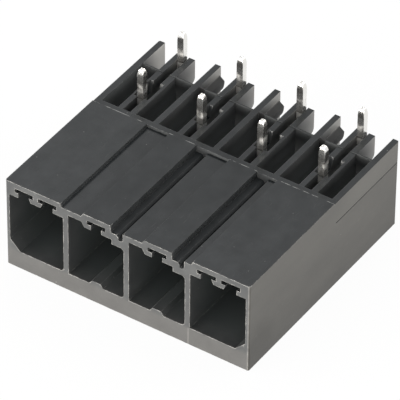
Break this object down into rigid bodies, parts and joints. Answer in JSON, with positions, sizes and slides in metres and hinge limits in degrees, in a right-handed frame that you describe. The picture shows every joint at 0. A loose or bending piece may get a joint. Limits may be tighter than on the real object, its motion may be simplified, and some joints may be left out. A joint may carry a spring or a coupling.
{
  "type": "pin header",
  "caption": "Moulded board-side pin header with a row of plug chambers at the front and pairs of solder tails that stand out of its board face.",
  "frame": {"origin": "middle of the housing's bottom face, on the surface that the part lies on", "axes": "+X along the row of poles, +Y from the plug's mouth towards the rear, +Z out of the board face, along the solder tails"},
  "size_m": [0.0304, 0.0286, 0.015],
  "materials": {
    "moulding": "black moulded plastic, matt to satin",
    "contact_metal": "bright tin plate on a stamped copper alloy"
  },
  "bodies": {
    "root": {"housing": "moulding", "contact_1": "contact_metal", "contact_2": "contact_metal", "contact_3": "contact_metal", "contact_4": "contact_metal"}
  },
  "joints": []
}
